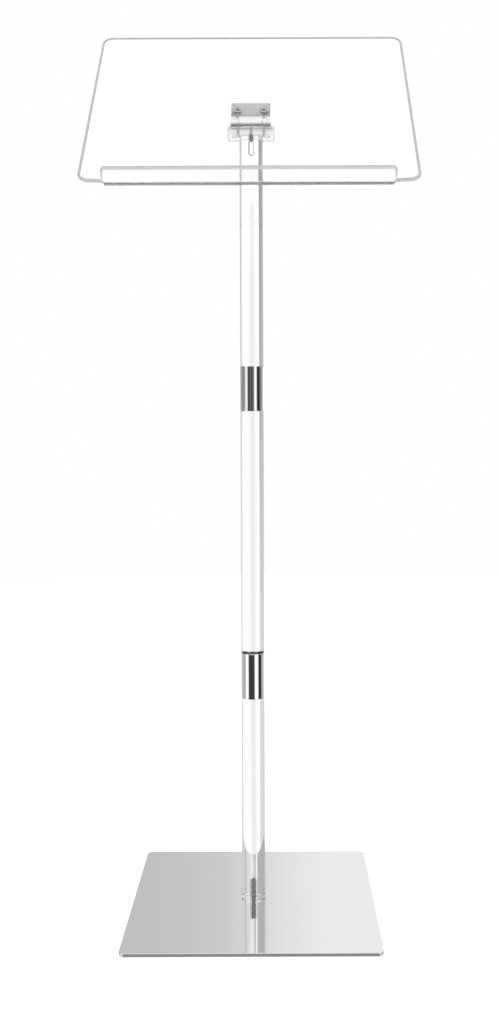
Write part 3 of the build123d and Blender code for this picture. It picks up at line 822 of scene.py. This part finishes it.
def build_panel():
    outline = panel_outline()
    # the rounded rim narrows near the notches, so that it fits their small radius
    distance = np.array([math.hypot(abs(x) - NOTCH_X, y - NOTCH_S) for x, y in outline])
    rim_weight = np.clip(0.35 + 0.65 * (distance - 6.5) / 6.5, 0.35, 1.0)
    countersink = [(PANEL_M0, 2.7), (PANEL_M1 - 2.6, 2.7), (PANEL_M1, 5.3)]
    verts, faces, tags = plate(outline, [(side * HOLE_X, HOLE_S, countersink) for side in SIDES],
                               PANEL_M0, PANEL_M1, rim_h=2.1, rim_steps=8, rim_w=3.3,
                               weight=rim_weight)
    bm = bmesh.new()
    bm_verts = [bm.verts.new(point) for point in verts]
    tag_layer = bm.faces.layers.int.new("tag")
    for indices, tag in zip(faces, tags):
        # guards against a repeated or degenerate triangle from the tessellation
        try:
            face = bm.faces.new([bm_verts[i] for i in indices])
            face[tag_layer] = tag
        except ValueError:
            pass
    for k in range(BEND_STEPS + 1):
        cut = BEND_START - BEND_LENGTH * k / BEND_STEPS
        bmesh.ops.bisect_plane(bm, geom=bm.verts[:] + bm.edges[:] + bm.faces[:], dist=1e-5,
                               plane_co=(0, cut, 0), plane_no=(0, 1, 0))
    for vert in bm.verts:
        x, s, m = vert.co
        vert.co = SLOPE((x, *bend_up(s, m))) * MM
    bm.normal_update()
    bmesh.ops.recalc_face_normals(bm, faces=bm.faces)

    smooth = []             # rims, hole walls and the bend
    for face in bm.faces:
        cut_edge = face[tag_layer] in (FACE_RIM, FACE_HOLE)
        centre = np.array(face.calc_center_median()) * PER_METRE - PIN
        s, m = float(centre @ UPHILL), float(centre @ NORMAL)
        smooth.append(cut_edge or (s < BEND_START and m < PANEL_M0 + BEND_R))
        face.material_index = 1 if cut_edge else 0
    mesh = bpy.data.meshes.new("reading_panel_clear")
    bm.to_mesh(mesh)
    bm.free()
    mesh.materials.append(PANEL_FACE)
    mesh.materials.append(PANEL_EDGE)
    mesh.set_sharp_from_angle(angle=math.radians(50))
    mesh.polygons.foreach_set("use_smooth", np.array(smooth, bool))
    obj = link(bpy.data.objects.new("reading_panel_clear", mesh))
    place(obj, "panel", "reading_panel")


def build_panel_pad():
    low, high = box_mm("panel_gasket")
    points = points_mm("panel_gasket") - PIN
    s, m = points @ UPHILL, points @ NORMAL
    s0, s1 = float(s.min()), float(s.max())
    m0, m1 = float(m.min()) + 0.05, float(m.max()) - 0.05
    hole = [(m0, 2.8), (m1, 2.8)]
    outline = rounded_rect(high.x - low.x, s1 - s0, radius=1.5, steps=8, centre_y=(s0 + s1) / 2)
    verts, faces, _ = plate(outline, [(side * HOLE_X, HOLE_S, hole) for side in SIDES], m0, m1,
                            rim_h=0.15, rim_steps=2)
    piece("panel_pad_vinyl", (SLOPE(verts), faces), PAD, "panel_gasket",
          body="panel")


def build_panel_screws():
    screws = [screw(z_head=PANEL_M1 - 0.08, head_r=4.88, length=14.0, thread_depth=0.44,
                    dome=0.7, local=hole, **M5) for hole in PANEL_HOLES]
    piece("panel_screws_m5", joined(screws), SCREW, "panel_screws", body="panel")


def build_washers():
    # depth below the upper leaf, radius
    section = [(0.02, 2.7), (0.02, 4.9), (0.12, 5.0), (0.88, 5.0), (0.98, 4.9), (0.98, 2.7)]
    rings = [(LEAF_UNDERSIDE - depth, r) for depth, r in section]
    washers = [revolve(rings, 64, hole, closed=True) for hole in PANEL_HOLES]
    piece("panel_washers_m5", joined(washers), SCREW, "panel_washers",
          body="panel")


def build_nuts():
    segments = 60
    bore_r = 2.62
    hexagon = hex_radius(8.0, segments)
    end_r = np.minimum(hexagon, 4.0)
    chamfer_r = np.minimum(hexagon, 4.35)
    top, bottom = LEAF_UNDERSIDE - 1.02, LEAF_UNDERSIDE - 4.98
    rings = [(top, bore_r), (top, 3.9), (top, end_r), (top - 0.35, chamfer_r),
             (top - 0.55, hexagon), (bottom + 0.55, hexagon), (bottom + 0.35, chamfer_r),
             (bottom, end_r), (bottom, 3.2), (bottom + 0.4, bore_r)]
    nuts = [revolve(rings, segments, hole, closed=True) for hole in PANEL_HOLES]
    piece("panel_nuts_m5", joined(nuts), SCREW, "panel_nuts", body="panel",
          sharp=25)


# ---------------------------------------------------------------- floor
def build_floor():
    """A pale, faintly glowing disc at z = 0."""
    material, g = new_material("studio_floor")
    clouds = g.noise(g.coords(), scale=1.3, detail=3.0, roughness=0.5)
    color = g.mix_color(g.remap(clouds, span=(0.3, 0.7)),
                        (0.9, 0.9, 0.9, 1), (0.88, 0.88, 0.88, 1))
    matt = g.fill(g.add("ShaderNodeBsdfDiffuse"), {"Color": color})
    glow = g.fill(g.add("ShaderNodeEmission"), {"Color": (1, 1, 1, 1), "Strength": 0.62})
    g.out(g.fill(g.add("ShaderNodeAddShader"), {0: matt, 1: glow}))

    radii = (3200.0, 2200.0, 1200.0, 600.0, 250.0)
    verts, faces = revolve([(0.0, r) for r in radii], 96, tips=(None, 0.0))
    mesh = new_mesh("floor", verts, faces, material)
    floor = link(bpy.data.objects.new("floor", mesh))
    for face in mesh.polygons:
        if face.normal.z < 0:
            face.flip()
    floor.visible_glossy = False
    floor.visible_transmission = False


# ---------------------------------------------------------------- studio world
PEAK = 1.3                  # background strength; colours are stored as radiance over this
BACKDROP = 1.2

# Radiance round the room as (heading in degrees, radiance): 0 is straight behind the object,
# positive to the right, and 180 is behind the camera.
ROOM_LOW = [
    (-180, 0.05), (-150, 0.05), (-141, 0.10), (-134, 1.15), (-112, 1.15), (-104, 0.60),
    (-92, 0.42), (-78, 0.50), (-58, 0.64), (-40, 0.74), (-29, 0.74), (-24, BACKDROP),
    (40, BACKDROP), (54, 0.75), (72, 0.55), (88, 0.33), (98, 0.06), (108, 0.015), (122, 0.04),
    (129, 1.0), (133, 1.15), (157, 1.15), (163, 0.5), (166, 0.12), (171, 0.05), (180, 0.05)]
ROOM_MIDDLE = [
    (-180, 0.08), (-171, 0.08), (-165, 0.20), (-157, 0.08), (-145, 0.045), (-139, 0.25),
    (-134, 0.9), (-124, 1.15), (-115, 0.9), (-107, 0.34), (-100, 0.31), (-88, 0.29),
    (-72, 0.31), (-56, 0.42), (-44, 0.46), (-34, 0.44), (-29, 0.5), (-25, BACKDROP),
    (36, BACKDROP), (45, 0.85), (58, 0.6), (76, 0.32), (90, 0.22), (103, 0.08), (115, 0.01),
    (127, 0.03), (133, 0.5), (138, 1.15), (150, 1.15), (157, 0.8), (163, 0.2), (180, 0.08)]
ROOM_UPPER = [
    (-180, 0.08), (-150, 0.06), (-139, 0.3), (-134, 1.0), (-112, 1.0), (-104, 0.3),
    (-62, 0.42), (-48, 0.33), (-31, 0.31), (-27, BACKDROP), (38, BACKDROP), (47, 0.8),
    (60, 0.48), (80, 0.3), (100, 0.06), (127, 0.03), (137, 1.15), (155, 1.15), (163, 0.2),
    (180, 0.08)]
# banked panels high up behind the object
BACK_HIGH = [
    (-60, 0.40), (-20, 0.44), (-14.5, 0.50), (-12.8, 1.1), (-10.2, 1.1), (-8.6, 0.56),
    (-6.6, 0.56), (-4.8, 0.59), (-2.7, 0.64), (-0.8, 0.735), (0.8, 0.83), (2.5, 0.885),
    (8, 0.885), (14, 0.76), (28, 0.68), (34, 0.46), (42, 0.7), (60, 0.7)]
# (elevation in degrees, radiance) on the camera's side, as seen through clear parts
FRONT_THROUGH = [
    (-90, 0.05), (-65, 0.2), (-46, 0.5), (-30, 0.8), (-15, 1.0), (15, 1.2), (45, 1.28),
    (90, 1.2)]


def level(radiance):
    return (*[radiance / PEAK] * 3, 1)


def view_angles(g):
    """Heading in radians from the camera's own heading, and elevation in degrees."""
    direction = g.add("ShaderNodeTexCoord").outputs["Generated"]
    ray = g.add("ShaderNodeSeparateXYZ")
    g.put(ray.inputs[0], direction)
    to_world = g.add("ShaderNodeVectorTransform", vector_type="VECTOR", convert_from="CAMERA",
                     convert_to="WORLD")
    to_world.inputs[0].default_value = (0.0, 0.0, 1.0)
    forward = g.add("ShaderNodeSeparateXYZ")
    g.put(forward.inputs[0], to_world.outputs[0])
    ray_x, ray_y, ray_z = ray.outputs
    forward_x, forward_y, _ = forward.outputs
    sideways = g.math("SUBTRACT", g.math("MULTIPLY", ray_x, forward_y),
                      g.math("MULTIPLY", ray_y, forward_x))
    ahead = g.math("ADD", g.math("MULTIPLY", ray_x, forward_x),
                   g.math("MULTIPLY", ray_y, forward_y))
    heading = g.math("ARCTAN2", sideways, ahead)
    return heading, g.math("MULTIPLY", g.math("ARCSINE", ray_z), 180 / math.pi)


def build_world():
    """The studio, laid out round the camera's heading: a bright backdrop behind the object,
    grey wings, two soft boxes in front and a pale ceiling. Later layers cover earlier ones."""
    world = bpy.data.worlds.new("studio")
    bpy.context.scene.world = world
    world.use_nodes = True
    g = Graph(world.node_tree)
    heading, elevation = view_angles(g)
    turn = g.math("MULTIPLY_ADD", heading, 1 / (2 * math.pi), 0.5)
    off_axis = g.math("ABSOLUTE", heading)
    rays = g.add("ShaderNodeLightPath").outputs
    through = rays["Is Transmission Ray"]

    def by_heading(stops):
        return g.ramp(turn, [((angle + 180.0) / 360.0, v / PEAK) for angle, v in stops])

    def at_heading(start, end):
        return g.remap(off_axis, span=(math.radians(start), math.radians(end)),
                       kind="SMOOTHSTEP")

    def rising(start, end, kind="LINEAR"):
        return g.remap(elevation, span=(start, end), kind=kind)

    def falling(start, end):
        return g.remap(elevation, span=(start, end), to=(1.0, 0.0), kind="SMOOTHSTEP")

    # the walls at three heights
    room = g.mix_color(rising(-12.0, 2.0), by_heading(ROOM_LOW), by_heading(ROOM_MIDDLE))
    room = g.mix_color(rising(4.0, 14.0), room, by_heading(ROOM_UPPER))

    # the soft fall-off in the middle of the backdrop, below panel height
    off_middle = g.math("ABSOLUTE", g.math("ADD", heading, math.radians(3.5)))
    fall_off = g.remap(off_middle, span=(math.radians(2.0), math.radians(24.0)), to=(1.0, 0.0))
    below_panel = g.remap(elevation, span=(11.4, 12.3), to=(0.25, 0.0))
    room = g.mix_color(g.math("MULTIPLY", fall_off, below_panel), room, (0, 0, 0, 1))

    # high up: banked panels behind, a large soft box on the camera's side
    front = at_heading(84, 104)
    white_high = g.math("MULTIPLY", through, rising(26.0, 28.0))
    back_high = g.mix_color(white_high, by_heading(BACK_HIGH), level(1.1))
    high = g.mix_color(front, back_high, level(1.25))
    high_start = g.mix_value(front, 19.4, 8.0)
    above_start = g.math("SUBTRACT", elevation, high_start)
    room = g.mix_color(g.remap(above_start, span=(0.0, 1.1), kind="SMOOTHSTEP"), room, high)
    ceiling = g.mix_color(through, level(0.80), level(1.25))
    room = g.mix_color(rising(50.0, 70.0, kind="SMOOTHSTEP"), room, ceiling)

    # the dark studio roof overhead, left out for rays that come through clear parts
    roof = g.math("MULTIPLY", g.math("SUBTRACT", 1.0, through),
                  rising(75.0, 80.0, kind="SMOOTHSTEP"))
    room = g.mix_color(roof, room, level(0.1))

    # below the horizon: a pale floor, dark right under the object
    floor_tone = g.mix_color(at_heading(125, 150), level(0.7), level(0.26))
    room = g.mix_color(g.math("MULTIPLY", front, falling(-22.0, -16.0)), room, floor_tone)
    room = g.mix_color(g.math("MULTIPLY", front, falling(-40.0, -32.0)), room, level(0.5))
    under = g.mix_color(through, level(0.03), level(1.15))
    room = g.mix_color(falling(-62.0, -48.0), room, under)

    # through clear parts, the camera's side is one smooth fall-off down to a dark floor
    smooth_front = g.ramp(rising(-90.0, 90.0),
                          [((angle + 90) / 180, v / PEAK) for angle, v in FRONT_THROUGH])
    room = g.mix_color(g.math("MULTIPLY", through, front), room, smooth_front)

    # an even level for diffuse and shadow rays, and plain white for the camera
    soft = g.math("MAXIMUM", rays["Is Diffuse Ray"], rays["Is Shadow Ray"])
    room = g.mix_color(soft, room, level(0.95))
    room = g.mix_color(rays["Is Camera Ray"], room, level(1.0))
    background = g.fill(g.add("ShaderNodeBackground"), {0: room, 1: PEAK})
    g.out(background, kind="ShaderNodeOutputWorld")


# ---------------------------------------------------------------- lamp, camera, render
def build_lamp():
    """A soft overhead light, in metres and watts, hidden from the camera and clear parts."""
    lamp = bpy.data.lights.new("overhead_softbox", "AREA")
    lamp.shape = "RECTANGLE"
    lamp.size = 2.4
    lamp.size_y = 1.8
    lamp.energy = 14.0
    obj = link(bpy.data.objects.new("overhead_softbox", lamp))
    obj.location = (0.3, -0.5, 2.9)
    obj.rotation_euler = (math.radians(-10), math.radians(6), 0)
    obj.visible_glossy = False
    obj.visible_transmission = False
    obj.visible_camera = False


def build_camera():
    """A level camera in front of the stand, looking along +Y, framed by lens shift."""
    right_of_post, distance, above_base = 29.192176, 1414.0, 598.3
    roll = -0.2             # degrees
    camera = bpy.data.cameras.new("camera")
    camera.sensor_width = 36.0
    camera.lens = 39.294675
    camera.shift_x = -0.024654832
    camera.shift_y = -0.077514793
    obj = link(bpy.data.objects.new("camera", camera))
    place_at = (right_of_post * MM, -distance * MM, (above_base + BASE_TOP) * MM)
    obj.matrix_world = (Matrix.Translation(place_at)
                        @ Matrix.Rotation(math.radians(90), 4, "X")
                        @ Matrix.Rotation(math.radians(roll), 4, "Z"))
    bpy.context.scene.camera = obj


def set_render():
    """Plain colour, and enough bounces for light to cross many clear surfaces."""
    scene = bpy.context.scene
    scene.view_settings.view_transform = "Standard"
    scene.view_settings.look = "None"
    scene.cycles.max_bounces = 96
    scene.cycles.transmission_bounces = 96
    scene.cycles.glossy_bounces = 96
    scene.cycles.transparent_max_bounces = 24
    scene.cycles.diffuse_bounces = 3


build_base_plate()
build_base_pads()
build_base_screw()
build_rods()
build_sleeves()
build_studs()
build_block()
build_block_screw()
build_hinge_leaves()
build_leaf_screws()
build_pin()
build_bush()
build_panel()
build_panel_pad()
build_panel_screws()
build_washers()
build_nuts()
build_floor()
build_world()
build_lamp()
build_camera()
set_render()
